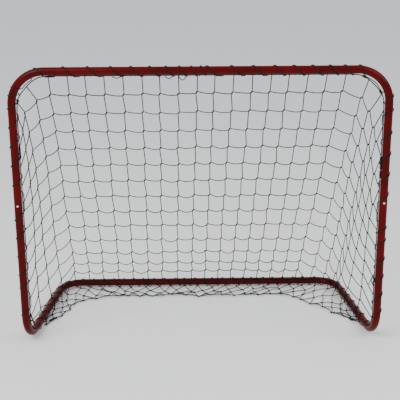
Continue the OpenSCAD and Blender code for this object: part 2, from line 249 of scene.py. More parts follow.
# %% Powder coat
RED_DEEP = (0.056, 0.0002, 0.0003, 1.0)
RED_BRIGHT = (0.086, 0.0004, 0.0005, 1.0)
RED_SCUFF = (0.080, 0.004, 0.004, 1.0)
RED_GLOSS = {"coat_weight": 0.02, "coat_roughness": 0.1, "specular_ior_level": 0.08}

red_coat = Finish("red_powder_coat", "red_tube", **RED_GLOSS)
cloud = red_coat.noise(9, 3)
scuffs = red_coat.noise(160, 5, 0.62).between(0.60, 0.72)
peel = red_coat.noise(520, 1.5)
red = red_coat.mix(cloud.between(0.3, 0.7), RED_DEEP, RED_BRIGHT)
red_coat.feed(
    base_color=red_coat.mix(scuffs * 0.45, red, RED_SCUFF),
    roughness=0.26 + scuffs * 0.25 + cloud * 0.08,
    normal=red_coat.bump(peel, 0.12, 0.0006),
)
print("finish:", red_coat.material.name)

# %% [markdown]
# ## Zinc-plated steel
# The snap buttons and their leaf springs are pressed from steel with a plain zinc plate. It is a grey
# metal with a soft cloudy shine and a very fine grain. A metallic shader gives the metal, one noise its
# clouds and a much finer one its grain.

# %% Zinc plate
ZINC = (0.58, 0.59, 0.61, 1.0)
ZINC_DULL = (0.36, 0.36, 0.37, 1.0)

zinc = Finish("zinc_plate", "button_steel", metallic=1.0)
tarnish = zinc.noise(260, 4)
zinc.feed(
    base_color=zinc.mix(tarnish.between(0.35, 0.75), ZINC, ZINC_DULL),
    roughness=0.28 + tarnish * 0.2,
    normal=zinc.bump(zinc.noise(1400, 2), 0.15, 0.0002),
)
print("finish:", zinc.material.name)

# %% [markdown]
# ## Black twine, rope and lacing
# All three are black synthetic cord, made differently. The net's twine and the border rope are twisted,
# so their surface shows slanting strands. The lacing cord is braided, so its strands cross both ways. The
# pattern follows each cord through its own UV map, whose first number runs along the cord in metres and
# whose second goes once round it: a sine of both gives the slant, and two sines that slant opposite ways
# give a braid.


# %% Cord finishes
CORD_BLACK = (0.0030, 0.0030, 0.0034, 1.0)
CORD_WORN = (0.012, 0.012, 0.013, 1.0)
FULL_TURN = 2 * math.pi


def cord_finish(name, slot, strands, lay, braided, shine):
    """A black cord with its strands showing: lay is the length in which a strand goes once round."""
    made = Finish(name, slot, specular_ior_level=0.2)
    uv = made.node("ShaderNodeUVMap", {"uv_map": "UVMap"})
    along = made.node("ShaderNodeSeparateXYZ", None, {0: uv}, out=0)
    round_it = made.node("ShaderNodeSeparateXYZ", None, {0: uv}, out=1)
    one_way = (round_it * (FULL_TURN * strands) + along * (FULL_TURN * strands / lay)).sine()
    other_way = (round_it * (FULL_TURN * strands) - along * (FULL_TURN * strands / lay)).sine()
    relief = one_way.sum("MAXIMUM", one_way, other_way) if braided else one_way
    fuzz = made.noise(900, 3)
    wear = made.noise(34, 3).between(0.45, 0.75)
    made.feed(
        base_color=made.mix(wear * 0.6 + relief * 0.15, CORD_BLACK, CORD_WORN),
        roughness=shine + fuzz * 0.25,
        normal=made.bump(relief + fuzz * 0.4, 0.6, 0.0003),
    )
    return made


twine = cord_finish("net_twine", "net_twine", 3, 0.006, False, 0.5)
rope = cord_finish("border_rope", "net_rope", 4, 0.004, False, 0.5)
lace = cord_finish("braided_lacing", "lacing_cord", 8, 0.012, True, 0.38)
print("finishes:", twine.material.name, rope.material.name, lace.material.name)


# %% [markdown]
# ## Dressing the steel
# The tubes, buttons and springs keep their CAD shapes, which are exact, so they only need their finish.

# %% Finish the steel nodes
TUBES = ["top_corner", "upright", "foot", "base_side", "back_corner"]
BUTTON_STEEL = ["snap_button", "leaf_spring"]


def finish_node(name, finish):
    mesh = nodes[name].data
    mesh.materials.clear()
    mesh.materials.append(finish.material)


for side in ("left", "right"):
    for part in TUBES:
        finish_node(f"{part}_{side}", red_coat)
    for part in BUTTON_STEEL:
        finish_node(f"{part}_{side}", zinc)
print("steel nodes dressed:", 2 * (len(TUBES) + len(BUTTON_STEEL)))

# %% [markdown]
# ## The springs
# A pressed button pushes its leaf spring flat against the back of the tube, so the spring flattens with
# the button's travel. The dressed spring is a copy of the packed one and rides on the frame in its place;
# the cell works out how much of its depth a full press would keep, but leaves its shape as it is.

# %% Springs
for side in ("left", "right"):
    packed = f"leaf_spring_{side}"
    joint = next(j for j in frame["joints"] if j["name"] == f"button_{side}_press")
    spring_low, spring_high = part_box(packed)
    travel = joint["range_m"][1]
    spring = bpy.data.objects.new(f"bending_spring_{side}", nodes[packed].data.copy())
    bpy.context.scene.collection.objects.link(spring)
    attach(spring, "frame")
    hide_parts(packed)
    keep = 1 - travel / (spring_high.y - spring_low.y)
    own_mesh(spring)
    print(spring.name, "keeps", round(keep, 3))

# %% [markdown]
# ## Where the tubes run
# The rope, the lacing and the net all follow the tubes, so they need a way to say "here along the tube,
# and on this side of it". A `Route` is a tube's centre line with its round bends. `beside` gives a point
# next to it: an angle of 0 points away from the middle of the goal, 90 degrees points to the viewer on
# the mouth's frame and up on the base's frame, and 180 degrees points inwards. On a foot, 0 points into
# its bend and 90 degrees points to the other foot.


# %% Routes of the frame
def round_about(one, two, angle):
    """A direction at an angle from one direction towards another."""
    return one * math.cos(angle) + two * math.sin(angle)


tube_low, tube_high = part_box("upright_left")
TUBE_R = (tube_high.x - tube_low.x) / 2
HALF_MOUTH = -(tube_high.x + tube_low.x) / 2
FRONT_Y = (tube_high.y + tube_low.y) / 2
BAR_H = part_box("top_corner_left")[1].z - TUBE_R
BACK_Y = -FRONT_Y
side_low, side_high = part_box("base_side_left")
BASE_H = (side_low.z + side_high.z) / 2
LEAN = math.radians(7.5)
CORNER_R = 0.1
FOOT_R = 0.085
BACK_R = 0.075
ROUTE_STEP = 0.004
HALF_BACK = HALF_MOUTH - (BACK_Y - FRONT_Y) * math.tan(LEAN)


class Route:
    """The centre line of some tubes in one plane, with round bends between straight runs."""

    def __init__(self, corners, bend_r, towards):
        self.towards = Vector(towards)
        corners = [Vector(c) for c in corners]
        self.points = [corners[0]]
        for before, corner, after in zip(corners, corners[1:], corners[2:]):
            self.bend((before - corner).normalized(), corner, (after - corner).normalized(), bend_r)
        self.straight(corners[-1])
        self.marks = [0.0]
        for a, b in zip(self.points, self.points[1:]):
            self.marks.append(self.marks[-1] + (b - a).length)
        self.length = self.marks[-1]

    def straight(self, end):
        start = self.points[-1]
        steps = max(1, round((end - start).length / ROUTE_STEP))
        self.points += [start.lerp(end, i / steps) for i in range(1, steps + 1)]

    def bend(self, back, corner, on, radius):
        turn = math.pi - back.angle(on)
        reach = radius * math.tan(turn / 2)
        start = corner + back * reach
        self.straight(start)
        centre = corner + (back + on).normalized() * radius / math.cos(turn / 2)
        axis = on.cross(back)
        steps = round(radius * turn / ROUTE_STEP)
        for i in range(1, steps + 1):
            self.points.append(centre + Matrix.Rotation(turn * i / steps, 3, axis) @ (start - centre))

    def at(self, s):
        """The point at a length s along the route, and the direction there."""
        s = min(max(s, 0.0), self.length - 1e-6)
        low, high = 0, len(self.marks) - 1
        while high - low > 1:
            middle = (low + high) // 2
            low, high = (middle, high) if self.marks[middle] <= s else (low, middle)
        a, b = self.points[low], self.points[low + 1]
        before, after = self.points[max(low - 1, 0)], self.points[min(low + 2, len(self.points) - 1)]
        share = (s - self.marks[low]) / (self.marks[low + 1] - self.marks[low])
        return a.lerp(b, share), (b - before).lerp(after - a, share).normalized()

    def sides(self, s):
        """The centre, the direction of angle 0 and the direction of 90 degrees."""
        centre, along = self.at(s)
        return centre, self.towards.cross(along).normalized(), self.towards

    def beside(self, s, angle, reach):
        centre, out, towards = self.sides(s)
        return centre + round_about(out, towards, angle) * reach

    def nearest(self, point):
        """The length along the route where it comes nearest to a point."""
        best = min(range(len(self.points)), key=lambda i: (self.points[i] - point).length)
        return self.marks[best]


FOOT_LAP = 0.02
mouth_low = BASE_H + FOOT_R
mouth = Route(
    [
        (-HALF_MOUTH, FRONT_Y, mouth_low - FOOT_LAP),
        (-HALF_MOUTH, FRONT_Y, BAR_H),
        (HALF_MOUTH, FRONT_Y, BAR_H),
        (HALF_MOUTH, FRONT_Y, mouth_low - FOOT_LAP),
    ],
    CORNER_R,
    (0, -1, 0),
)
base_start = Vector((-HALF_MOUTH + FOOT_R * math.sin(LEAN), FRONT_Y + FOOT_R * math.cos(LEAN), BASE_H))
base_end = Vector((-base_start.x, base_start.y, BASE_H))
base = Route(
    [base_start, (-HALF_BACK, BACK_Y, BASE_H), (HALF_BACK, BACK_Y, BASE_H), base_end],
    BACK_R,
    (0, 0, 1),
)
foot_left = Route(
    [(-HALF_MOUTH, FRONT_Y, mouth_low), (-HALF_MOUTH, FRONT_Y, BASE_H), base_start],
    FOOT_R,
    (math.cos(LEAN), -math.sin(LEAN), 0),
)
foot_right = Route(
    [base_end, (HALF_MOUTH, FRONT_Y, BASE_H), (HALF_MOUTH, FRONT_Y, mouth_low)],
    FOOT_R,
    (-math.cos(LEAN), -math.sin(LEAN), 0),
)
print(f"mouth frame {mouth.length:.3f} m, base frame {base.length:.3f} m")

# %% [markdown]
# ## Sweeping cords
# Everything soft on this goal is a round cord. A curve with a bevel sweeps a round section along any
# path, so each cord is a list of points. `cords` sweeps many paths at once, turns them into one mesh,
# welds the end caps on, and rewrites the UV map so that its first number runs along each cord in metres,
# which the cord finishes count on.


# %% Sweep cords along paths
def cords(name, paths, radius, finish, replaced=(), sides=6):
    """One mesh of round cords: it rides on the frame and stands for the replaced nodes."""
    curve = bpy.data.curves.new(name, "CURVE")
    curve.dimensions = "3D"
    curve.bevel_depth = radius
    curve.bevel_resolution = (sides - 4) // 2
    curve.use_fill_caps = True
    for path in paths:
        spline = curve.splines.new("POLY")
        spline.points.add(len(path) - 1)
        spline.points.foreach_set("co", [value for point in path for value in (*point, 1.0)])
    sweep = bpy.data.objects.new(name, curve)
    bpy.context.scene.collection.objects.link(sweep)
    mesh = bpy.data.meshes.new_from_object(sweep.evaluated_get(bpy.context.evaluated_depsgraph_get()))
    bpy.data.objects.remove(sweep)
    mesh.name = name
    measure_along(mesh, paths, sides)
    weld = bmesh.new()
    weld.from_mesh(mesh)
    bmesh.ops.remove_doubles(weld, verts=weld.verts, dist=1e-6)
    weld.to_mesh(mesh)
    weld.free()
    mesh.shade_smooth()
    mesh.materials.append(finish.material)
    piece = bpy.data.objects.new(name, mesh)
    bpy.context.scene.collection.objects.link(piece)
    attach(piece, "frame")
    if replaced:
        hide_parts(*replaced)
    print(name, "cords:", len(paths), "faces:", len(mesh.polygons))


def measure_along(mesh, paths, sides):
    """Puts each cord's own length, in metres, in the first number of its UVs."""
    uv = mesh.uv_layers[0].uv
    quads = (face for face in mesh.polygons if len(face.vertices) == 4)
    for path in paths:
        start = 0.0
        for a, b in zip(path, path[1:]):
            end = start + (b - a).length
            for _ in range(sides):
                first = next(quads).loop_start
                for corner, along in enumerate((start, end, end, start)):
                    uv[first + corner].vector.x = along
            start = end


# %% [markdown]
# ## The border rope
# A thin three-strand rope runs round the edge of the net, and the lacing ties it to the tubes. On the
# mouth it lies on the tube's inner side and a little behind it, and on the base it lies on the inner
# side, on top. At the mouth's top corners it is pulled a little off the bend. Each strand is a helix
# round the rope's path, so the twist is real geometry and catches the light as rope does.

# %% Border rope
ROPE_REACH = TUBE_R + 0.0022
MOUTH_SIDE = math.radians(192)
BASE_SIDE = math.radians(135)
FOOT_SIDE = math.radians(45)
STRAND_R = 0.0010
STRAND_OUT = 0.0009
ROPE_LAY = 0.010
STEPS_PER_LAY = 6
ROPE_STRANDS = 3
CORNER_PULL = 0.010
CORNER_SPREAD = 0.055
CORNER_INSET = 0.03
CORNER_X = HALF_MOUTH - CORNER_INSET
CORNER_Z = BAR_H - CORNER_INSET
MOUTH_CORNERS = [mouth.nearest(Vector((x, FRONT_Y, CORNER_Z))) for x in (-CORNER_X, CORNER_X)]


def border_path(route, s, angle):
    """The rope's middle, beside its route. At the mouth's top corners it cuts across the bend."""
    pull = 0.0
    if route is mouth:
        for corner in MOUTH_CORNERS:
            pull = max(pull, CORNER_PULL * math.exp(-(((s - corner) / CORNER_SPREAD) ** 2)))
    centre, out, towards = route.sides(s)
    return centre + round_about(out, towards, angle) * ROPE_REACH - out * pull


def twisted_rope(name, runs, replaced):
    """A rope along one or more runs, each of them a route, an angle, a start and an end."""
    strands = [[] for _ in range(ROPE_STRANDS)]
    before = 0.0
    for route, angle, start, end in runs:
        steps = round((end - start) / ROPE_LAY * STEPS_PER_LAY)
        for i in range(steps):
            s = start + (end - start) * i / steps
            out, towards = route.sides(s)[1:]
            for strand, path in enumerate(strands):
                turn = FULL_TURN * ((before + s - start) / ROPE_LAY + strand / ROPE_STRANDS)
                from_middle = round_about(out, towards, turn + angle) * STRAND_OUT
                path.append(border_path(route, s, angle) + from_middle)
        before += end - start
    cords(name, strands, STRAND_R, rope, [replaced], sides=4)


rope_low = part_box("border_rope_front")[0].z
mouth_rope_ends = [mouth.nearest(Vector((x, FRONT_Y, rope_low))) for x in (-HALF_MOUTH, HALF_MOUTH)]
twisted_rope("rope_mouth", [(mouth, MOUTH_SIDE, *mouth_rope_ends)], "border_rope_front")
base_runs = [
    (foot_left, FOOT_SIDE, 0, foot_left.length),
    (base, BASE_SIDE, 0, base.length),
    (foot_right, FOOT_SIDE, 0, foot_right.length),
]
twisted_rope("rope_base", base_runs, "border_rope_base")

# %% [markdown]
# ## How the net hangs
# The net is one sheet of square mesh, tied to the mouth's rope at the top and to the base's rope at the
# bottom. Its columns are nearly straight, taut strands that run down the slope, and its rows are slacker
# and sag between them. The edge columns have to reach round to the sides, so each one starts lower on the
# upright and ends nearer the front on the base. A column is given by where it starts and ends, how many
# knots it has, and how far the first and the last knot are from its ends. The row strands pull an edge
# column inwards near its head and let it go near its foot, so it bows: a smooth step takes it from its
# high bow to its low bow. The lowest rows of the full columns are bunched, each a little more than the
# one above.


# %% Columns of the net
MM = 0.001


def mm(x, y, z):
    """A place in millimetres: across, back from the mouth, and up."""
    return Vector((x * MM, FRONT_Y + y * MM, z * MM))


def on_mouth(x, z):
    """The length along the mouth's route nearest to a place in millimetres."""
    return mouth.nearest(mm(x, 0, z))


def bow_at(share, high_bow, low_bow):
    """How far a column bows to the right, in millimetres, at a share of its length."""
    step = (share - BOW_TOP) / (BOW_BOTTOM - BOW_TOP)
    return low_bow + (high_bow - low_bow) * (1 + math.cos(math.pi * min(step, 1))) / 2


class Column:
    """A column of the net, with its knot's place in each row. The sizes it is given are in millimetres."""

    def __init__(self, head, foot, knots, gaps, bows=(0, 0), first_row=1):
        self.head = border_path(mouth, on_mouth(*head), MOUTH_SIDE)
        self.foot = border_path(base, base.nearest(mm(*foot, BASE_ROPE_H)), BASE_SIDE)
        length = (self.foot - self.head).length / MM
        pitch = (length - gaps[0] - gaps[1]) / (knots - 1)
        self.knots = {}
        for i in range(knots):
            bunched = BUNCHING * max(0, i + first_row - FIRST_BUNCHED) ** 2 if knots == LAST_ROW else 0
            share = (gaps[0] + pitch * i - bunched) / length
            place = self.head.lerp(self.foot, share)
            bow = bow_at(share, *bows) * MM
            wander = Vector((dice.uniform(-1, 1), dice.uniform(-0.5, 0.5), dice.uniform(-1, 1))) * KNOT_WANDER
            self.knots[first_row + i] = place + Vector((bow, 0, 0)) + wander


dice = random.Random(18)
KNOT_WANDER = 0.0018
LAST_ROW = 13
FIRST_BUNCHED = 10
BUNCHING = 5.0
BOW_TOP = 0.2
BOW_BOTTOM = 0.95
BASE_ROPE_H = 28
HEAD_H = 873
FOOT_BACK = 465
UPRIGHT_X = 562
BAR_Z = 887
FULL_COLUMNS = 17
HEAD_START = -506
HEAD_PITCH = 55
MIDDLE_COLUMN = (FULL_COLUMNS + 1) // 2
MIDDLE_FOOT = -29
FOOT_PITCHES = (54, 48)
TOP_GAPS = (72, 67)
LAST_GAP = 12


def middle_column(c):
    """A column of the back panel: both its foot's pitch and its top gap are wider on the left half."""
    right_half = c > MIDDLE_COLUMN
    head = (HEAD_START + HEAD_PITCH * c, HEAD_H)
    foot = (MIDDLE_FOOT + FOOT_PITCHES[right_half] * (c - MIDDLE_COLUMN), FOOT_BACK)
    return Column(head, foot, LAST_ROW, (TOP_GAPS[c >= MIDDLE_COLUMN], LAST_GAP))


left_edge = [
    Column((-UPRIGHT_X, 750), (-530, 165), 12, (45, 30), (14, -12)),
    Column((-UPRIGHT_X, 795), (-515, 290), 12, (40, 25), (21, -10)),
    Column((-521, 850), (-500, 400), 12, (55, 45), (23, -2)),
]
middle = [middle_column(c) for c in range(1, FULL_COLUMNS + 1)]
right_edge = [
    Column((502, 865), (410, FOOT_BACK), 12, (70, 70), (-8, 1)),
    Column((543, 815), (455, 450), 12, (70, 35), (-25, 0)),
    Column((UPRIGHT_X, 765), (475, 425), 11, (70, 50), (-17, 4)),
    Column((UPRIGHT_X, 715), (500, 400), 10, (65, 65), (-9, 5)),
    Column((UPRIGHT_X, 620), (510, 310), 9, (70, 40), (-9, 7), first_row=2),
    Column((UPRIGHT_X, 520), (530, 170), 8, (60, 55), (-12, 5), first_row=3),
]
columns = left_edge + middle + right_edge
FIRST_BACK = len(left_edge) - 1
LAST_BACK = len(left_edge) + len(middle)
print("columns:", len(columns), "knots:", sum(len(c.knots) for c in columns))

# %% [markdown]
# ## Knots, columns and rows
# Each crossing is a small slanted knot: the column comes in at its top end and leaves at its bottom end,
# and the row does the same from right to left. That little slant is what makes knotted netting look
# knotted, so every knot gets two ends, a short way along the line between its strands. Almost two turns
# of twine wound round that line make the knot's body. Between knots a strand hangs in a shallow sag, and
# the rows sag deeper the lower they are, because the net has more slack there.

# %% Knot ends
LEFT = -1
RIGHT = 1
KNOT_HALF = 0.0042
ROW_PULL = 0.6
TWINE_R = 0.0015
MOUTH_ROWS = {LEFT: 12, RIGHT: 10}
STEEP_ROWS = {LEFT: 4, RIGHT: 2}
STEEP_DROP = {LEFT: 0.052, RIGHT: 0.038}
FLAT_DROP = {LEFT: 0.018, RIGHT: 0.025}
BASE_AIM = Vector((0.03, -0.02, -0.05))


def row_end(row, knot, side):
    """Where a row meets the rope: below its last knot on the mouth, or outside it on the base."""
    if row > MOUTH_ROWS[side]:
        aim = Vector((side * BASE_AIM.x, BASE_AIM.y, BASE_AIM.z))
        return border_path(base, base.nearest(knot + aim), BASE_SIDE)
    drop = STEEP_DROP[side] if row <= STEEP_ROWS[side] else FLAT_DROP[side]
    return border_path(mouth, mouth.nearest(Vector((side * HALF_MOUTH, FRONT_Y, knot.z - drop))), MOUTH_SIDE)


def row_path(row):
    """The places that a row passes, from the left rope through its knots to the right rope."""
    places = [c.knots[row] for c in columns if row in c.knots]
    return [row_end(row, places[0], LEFT), *places, row_end(row, places[-1], RIGHT)]


rows = {row: row_path(row) for row in range(1, LAST_ROW + 1)}
ends = {}
for column in columns:
    line = [column.head, *[column.knots[k] for k in sorted(column.knots)], column.foot]
    for i, row in enumerate(sorted(column.knots)):
        here = column.knots[row]
        at = rows[row].index(here)
        up = (line[i] - here).normalized()
        down = (line[i + 2] - here).normalized()
        left = (rows[row][at - 1] - here).normalized()
        right = (rows[row][at + 1] - here).normalized()
        half = ((up + right * ROW_PULL) - (down + left * ROW_PULL)).normalized() * KNOT_HALF
        ends[here.freeze()] = (here + half, here - half)
print("knots with two ends:", len(ends))


# %% Strands between knots
SAG_STEPS = 5
SAG_WAY = Vector((0, 0.35, -0.94))
COLUMN_SLACK = (-0.0005, 0.0012)
COLUMN_END_SLACK = 0.001
ROW_SLACK = 0.0020
ROW_SLACK_STEP = 0.0005
ROW_SLACK_SPREAD = (0.4, 1.7)
ROW_END_SLACK = 0.002


def hung(a, b, sag):
    """Points from a to b, without a itself, that hang in a shallow curve."""
    points = []
    for i in range(1, SAG_STEPS + 1):
        t = i / SAG_STEPS
        points.append(a.lerp(b, t) + SAG_WAY * sag * 4 * t * (1 - t))
    return points


def column_strand(column):
    """A column's twine, from head to foot through both ends of each knot."""
    path = [column.head]
    for row in sorted(column.knots):
        top, bottom = ends[column.knots[row]]
        path += hung(path[-1], top, dice.uniform(*COLUMN_SLACK))
        path.append(bottom)
    return path + hung(path[-1], column.foot, COLUMN_END_SLACK)


def row_strand(row):
    """A row's twine, from left to right through both ends of each knot."""
    places = rows[row]
    path = [places[0]]
    for place in places[1:-1]:
        right_end, left_end = ends[place]
        slack = (ROW_SLACK + ROW_SLACK_STEP * row) * dice.uniform(*ROW_SLACK_SPREAD)
        path += hung(path[-1], left_end, slack)
        path.append(right_end)
    return path + hung(path[-1], places[-1], ROW_END_SLACK)


KNOT_TURNS = 1.75
KNOT_STEPS = 8
COIL_OUT = 0.0017
COIL_MARGIN = 0.12


def knot_coil(top, bottom):
    """Twine wound round the line between a knot's ends."""
    axis = (top - bottom).normalized()
    one = axis.orthogonal().normalized()
    two = axis.cross(one)
    start = dice.uniform(0, FULL_TURN)
    path = []
    for i in range(KNOT_STEPS + 1):
        t = i / KNOT_STEPS
        turn = start + FULL_TURN * KNOT_TURNS * t
        middle = bottom.lerp(top, COIL_MARGIN + (1 - 2 * COIL_MARGIN) * t)
        path.append(middle + round_about(one, two, turn) * COIL_OUT)
    return path


# %% Net panels
def panel_paths(group):
    """The strands of some columns and the coils of their knots."""
    return [column_strand(c) for c in group] + [knot_coil(*ends[p]) for c in group for p in c.knots.values()]


row_strands = {row: row_strand(row) for row in rows}


def split_row(row):
    """A row's points left of the first back column, between, and right of the last one."""
    path = row_strands[row]
    if row not in columns[FIRST_BACK].knots:
        return [], path, []
    first = min(range(len(path)), key=lambda i: (path[i] - columns[FIRST_BACK].knots[row]).length)
    last = min(range(len(path)), key=lambda i: (path[i] - columns[LAST_BACK].knots[row]).length)
    return path[: first + 1], path[first : last + 1], path[last:]


shares = [split_row(row) for row in rows]
back_paths = panel_paths(columns[FIRST_BACK : LAST_BACK + 1]) + [s[1] for s in shares]
cords("net_back_panel", back_paths, TWINE_R, twine, ["net_back"])
left_paths = panel_paths(columns[:FIRST_BACK]) + [s[0] for s in shares if s[0]]
cords("net_left_panel", left_paths, TWINE_R, twine, ["net_side_left"])
right_paths = panel_paths(columns[LAST_BACK + 1 :]) + [s[2] for s in shares if s[2]]
cords("net_right_panel", right_paths, TWINE_R, twine, ["net_side_right"])

# %% [markdown]
# ## The spare net on the floor
# The sheet is longer than the slope, so a strip of spare netting hangs from the base's rope and lies on
# the floor inside the goal, where it stops a ball from rolling out under the net. It is loose, so its
# meshes lie as diamonds, bunched in the corners, and its free edge is a selvedge of two crossing cords.
# The strip is laid out as ribs from the rope to the free edge, and strands zigzag between neighbouring
# ribs.

# %% Ribs of the spare net
SKIRT_EDGE = [
    (-505, 165), (-450, 300), (-420, 345), (-365, 370),
    (295, 380), (365, 340), (500, 170), (530, 150),
]
SKIRT_CORNERS = (2, 5)
SKIRT_START = (-545, 140)
SKIRT_END = (545, 122)
SKIRT_CELLS = (4, 19, 5)
SKIRT_ROWS = 4
SKIRT_JITTER = 0.0075
EDGE_LOOSENESS = 1.4
SKIRT_LIFT = {1: 0.011, 2: 0.006, 3: 0.005, 4: 0.004}
LIFT_SPREAD = (0.3, 1.5)


def share_of(points, share):
    """The place at a share of a polyline's length."""
    lengths = [(b - a).length for a, b in zip(points, points[1:])]
    left = share * sum(lengths)
    for a, b, length in zip(points, points[1:], lengths):
        if left <= length:
            return a.lerp(b, left / length)
        left -= length
    return points[-1].copy()


edge_points = [mm(x, y, 0) for x, y in SKIRT_EDGE]
edge_cuts = (0, *SKIRT_CORNERS, len(edge_points) - 1)
rope_cuts = [
    base.nearest(mm(*SKIRT_START, 0)),
    base.nearest(Vector((-HALF_BACK, BACK_Y, BASE_H))),
    base.nearest(Vector((HALF_BACK, BACK_Y, BASE_H))),
    base.nearest(mm(*SKIRT_END, 0)),
]
ribs = []
for part, cells in enumerate(SKIRT_CELLS):
    run = edge_points[edge_cuts[part] : edge_cuts[part + 1] + 1]
    for i in range(2 * cells + (part == 2)):
        share = i / (2 * cells)
        s = rope_cuts[part] + (rope_cuts[part + 1] - rope_cuts[part]) * share
        ribs.append((border_path(base, s, BASE_SIDE), share_of(run, share)))
print("ribs:", len(ribs))


def skirt_place(i, j):
    """The place of a mesh knot on a rib: the first is on the rope, and the rest lie loosely on the floor."""
    top, edge = ribs[i]
    if j == 0:
        return top.copy()
    place = top.lerp(edge, j / SKIRT_ROWS)
    loose = SKIRT_JITTER * (EDGE_LOOSENESS if j == SKIRT_ROWS else 1)
    place += Vector((dice.uniform(-1, 1), dice.uniform(-1, 1), 0)) * loose
    place.z = TWINE_R + SKIRT_LIFT[j] * dice.uniform(*LIFT_SPREAD)
    return place


skirt_spots = [(i, j) for i in range(len(ribs)) for j in range(SKIRT_ROWS + 1) if (i + j) % 2 == 0]
skirt_knots = {spot: skirt_place(*spot) for spot in skirt_spots}

# %% Spare net
BEND_JITTER = 0.0045
BEND_LIFT = (-0.002, 0.003)
SCALLOP = (0.002, 0.012)
SELVEDGE_APART = 0.0012
SELVEDGE_LIFT = 0.0008
SKIRT_KNOT = 0.8
SKIRT_KNOT_DROP = 0.0012

skirt_paths = []
for row in range(SKIRT_ROWS):
    path = []
    for i in range(len(ribs)):
        knot = skirt_knots[i, row if (i + row) % 2 == 0 else row + 1]
        if path:
            bend = path[-1].lerp(knot, 0.5)
            bend += Vector((dice.uniform(-1, 1), dice.uniform(-1, 1), 0)) * BEND_JITTER
            bend.z = max(bend.z + dice.uniform(*BEND_LIFT), TWINE_R)
            path.append(bend)
        path.append(knot)
    skirt_paths.append(path)
edge_ribs = [i for i in range(len(ribs)) if (i, SKIRT_ROWS) in skirt_knots]
selvedge = [skirt_knots[edge_ribs[0], SKIRT_ROWS]]
for i in edge_ribs[1:]:
    knot = skirt_knots[i, SKIRT_ROWS]
    inward = (ribs[i][0] - ribs[i][1]).normalized() * dice.uniform(*SCALLOP)
    selvedge += [selvedge[-1].lerp(knot, 0.5) + Vector((inward.x, inward.y, 0)), knot]
for turn in (0, 1):
    offsets = [Vector((0, SELVEDGE_APART * (-1) ** (i + turn), SELVEDGE_LIFT)) for i in range(len(selvedge))]
    skirt_paths.append([p + offset for p, offset in zip(selvedge, offsets)])
for (i, j), place in skirt_knots.items():
    if j > 0:
        slant = Vector((dice.uniform(0.5, 1), dice.uniform(-0.6, 0.6), 0.1)).normalized()
        half = slant * KNOT_HALF * SKIRT_KNOT
        skirt_paths.append(knot_coil(place + half, place - half + Vector((0, 0, SKIRT_KNOT_DROP))))
cords("net_skirt", skirt_paths, TWINE_R, twine, ["net_skirt_left", "net_skirt_back", "net_skirt_right"])

# %% [markdown]
# ## The lacing
# A braided cord ties the border rope to the tubes. Whoever laced it ran the cord along the rope, took one
# turn round the tube, ran along the rope again, and so on, so the turns lean. Most of them stand 60 or 65
# mm apart on the uprights, with a wider gap at the tube's joint and snap button, and on each half of the
# crossbar they draw closer from left to right. On the base they are closer and not quite even. The cord
# lies on the tube all the way round, except where it has to climb over the rope, and under the base's
# tubes, where it hangs a little loose and touches the floor.

# %% Lacing cord
LACE_R = 0.0014
TURN_LENGTH = 0.056
TURN_MARK = 0.36
TURN_STEPS = 20
LACE_SEAT = 0.0002
TUBE_REACH = TUBE_R + LACE_R + LACE_SEAT
OVER_ROPE = ROPE_REACH + STRAND_OUT + STRAND_R + LACE_R
ROPE_WIDTH = math.radians(15)
DWELL_STEP = 0.015
DWELL_WANDER = 0.12
DWELL_LIFT = 0.001
LENGTH_SPREAD = (0.85, 1.15)
GAP_SHARE = 0.92
TURN_CLEAR = 0.0005
LACE_SIDES = 8


def lace_reach(turn, lowest):
    """How far the cord's middle is from the tube's, at an angle from the rope."""
    apart = min(turn % FULL_TURN, FULL_TURN - turn % FULL_TURN)
    return lowest + (OVER_ROPE - lowest) * math.exp(-((apart / ROPE_WIDTH) ** 2))


def lacing_path(route, places, rope_angle, floor_gap=0.0):
    """One cord: it dwells along the rope, and takes a turn round the tube at each place."""
    places = sorted(places)
    gaps = [b - a for a, b in zip(places, places[1:])]
    gaps = [TURN_LENGTH, *gaps, TURN_LENGTH]
    path = []
    end = 0.0
    for n, s in enumerate(places):
        length = min(TURN_LENGTH * dice.uniform(*LENGTH_SPREAD), GAP_SHARE * gaps[n], GAP_SHARE * gaps[n + 1])
        start = max(s - length * TURN_MARK, end + TURN_CLEAR)
        dwell_steps = int((start - end) / DWELL_STEP) if path else 0
        for i in range(1, dwell_steps):
            along = end + (start - end) * i / dwell_steps
            angle = rope_angle + dice.uniform(-DWELL_WANDER, DWELL_WANDER)
            path.append(route.beside(along, angle, OVER_ROPE + dice.uniform(0, DWELL_LIFT)))
        for i in range(TURN_STEPS + 1):
            turn = FULL_TURN * i / TURN_STEPS
            angle = rope_angle + turn
            reach = lace_reach(turn, TUBE_REACH + floor_gap * (1 - math.sin(angle)) / 2)
            path.append(route.beside(start + length * i / TURN_STEPS, angle, reach))
        end = start + length
    return path


def spaced(start, first_gap, last_gap, count):
    """Places whose distances change evenly from the first gap to the last."""
    places = [start]
    for i in range(count - 1):
        places.append(places[-1] + first_gap + (last_gap - first_gap) * i / (count - 2))
    return places


BAR_LEFT = spaced(-490, 80, 28, 10)
BAR_RIGHT = spaced(15, 70, 43, 9)
UPRIGHT_LEFT = [100, 195, *spaced(240, 60, 60, 4), *spaced(530, 60, 60, 5), 810, 840]
UPRIGHT_RIGHT = [*spaced(120, 60, 60, 5), 400, *spaced(510, 65, 65, 5), 810]

left_turns = [on_mouth(-UPRIGHT_X, z) for z in UPRIGHT_LEFT] + [on_mouth(x, BAR_Z) for x in BAR_LEFT]
right_turns = [on_mouth(x, BAR_Z) for x in BAR_RIGHT] + [on_mouth(UPRIGHT_X, z) for z in UPRIGHT_RIGHT]
for side, turns in (("left", left_turns), ("right", right_turns)):
    path = lacing_path(mouth, turns, MOUTH_SIDE)
    cords(f"lacing_mouth_{side}", [path], LACE_R, lace, [f"lacing_top_{side}"], LACE_SIDES)

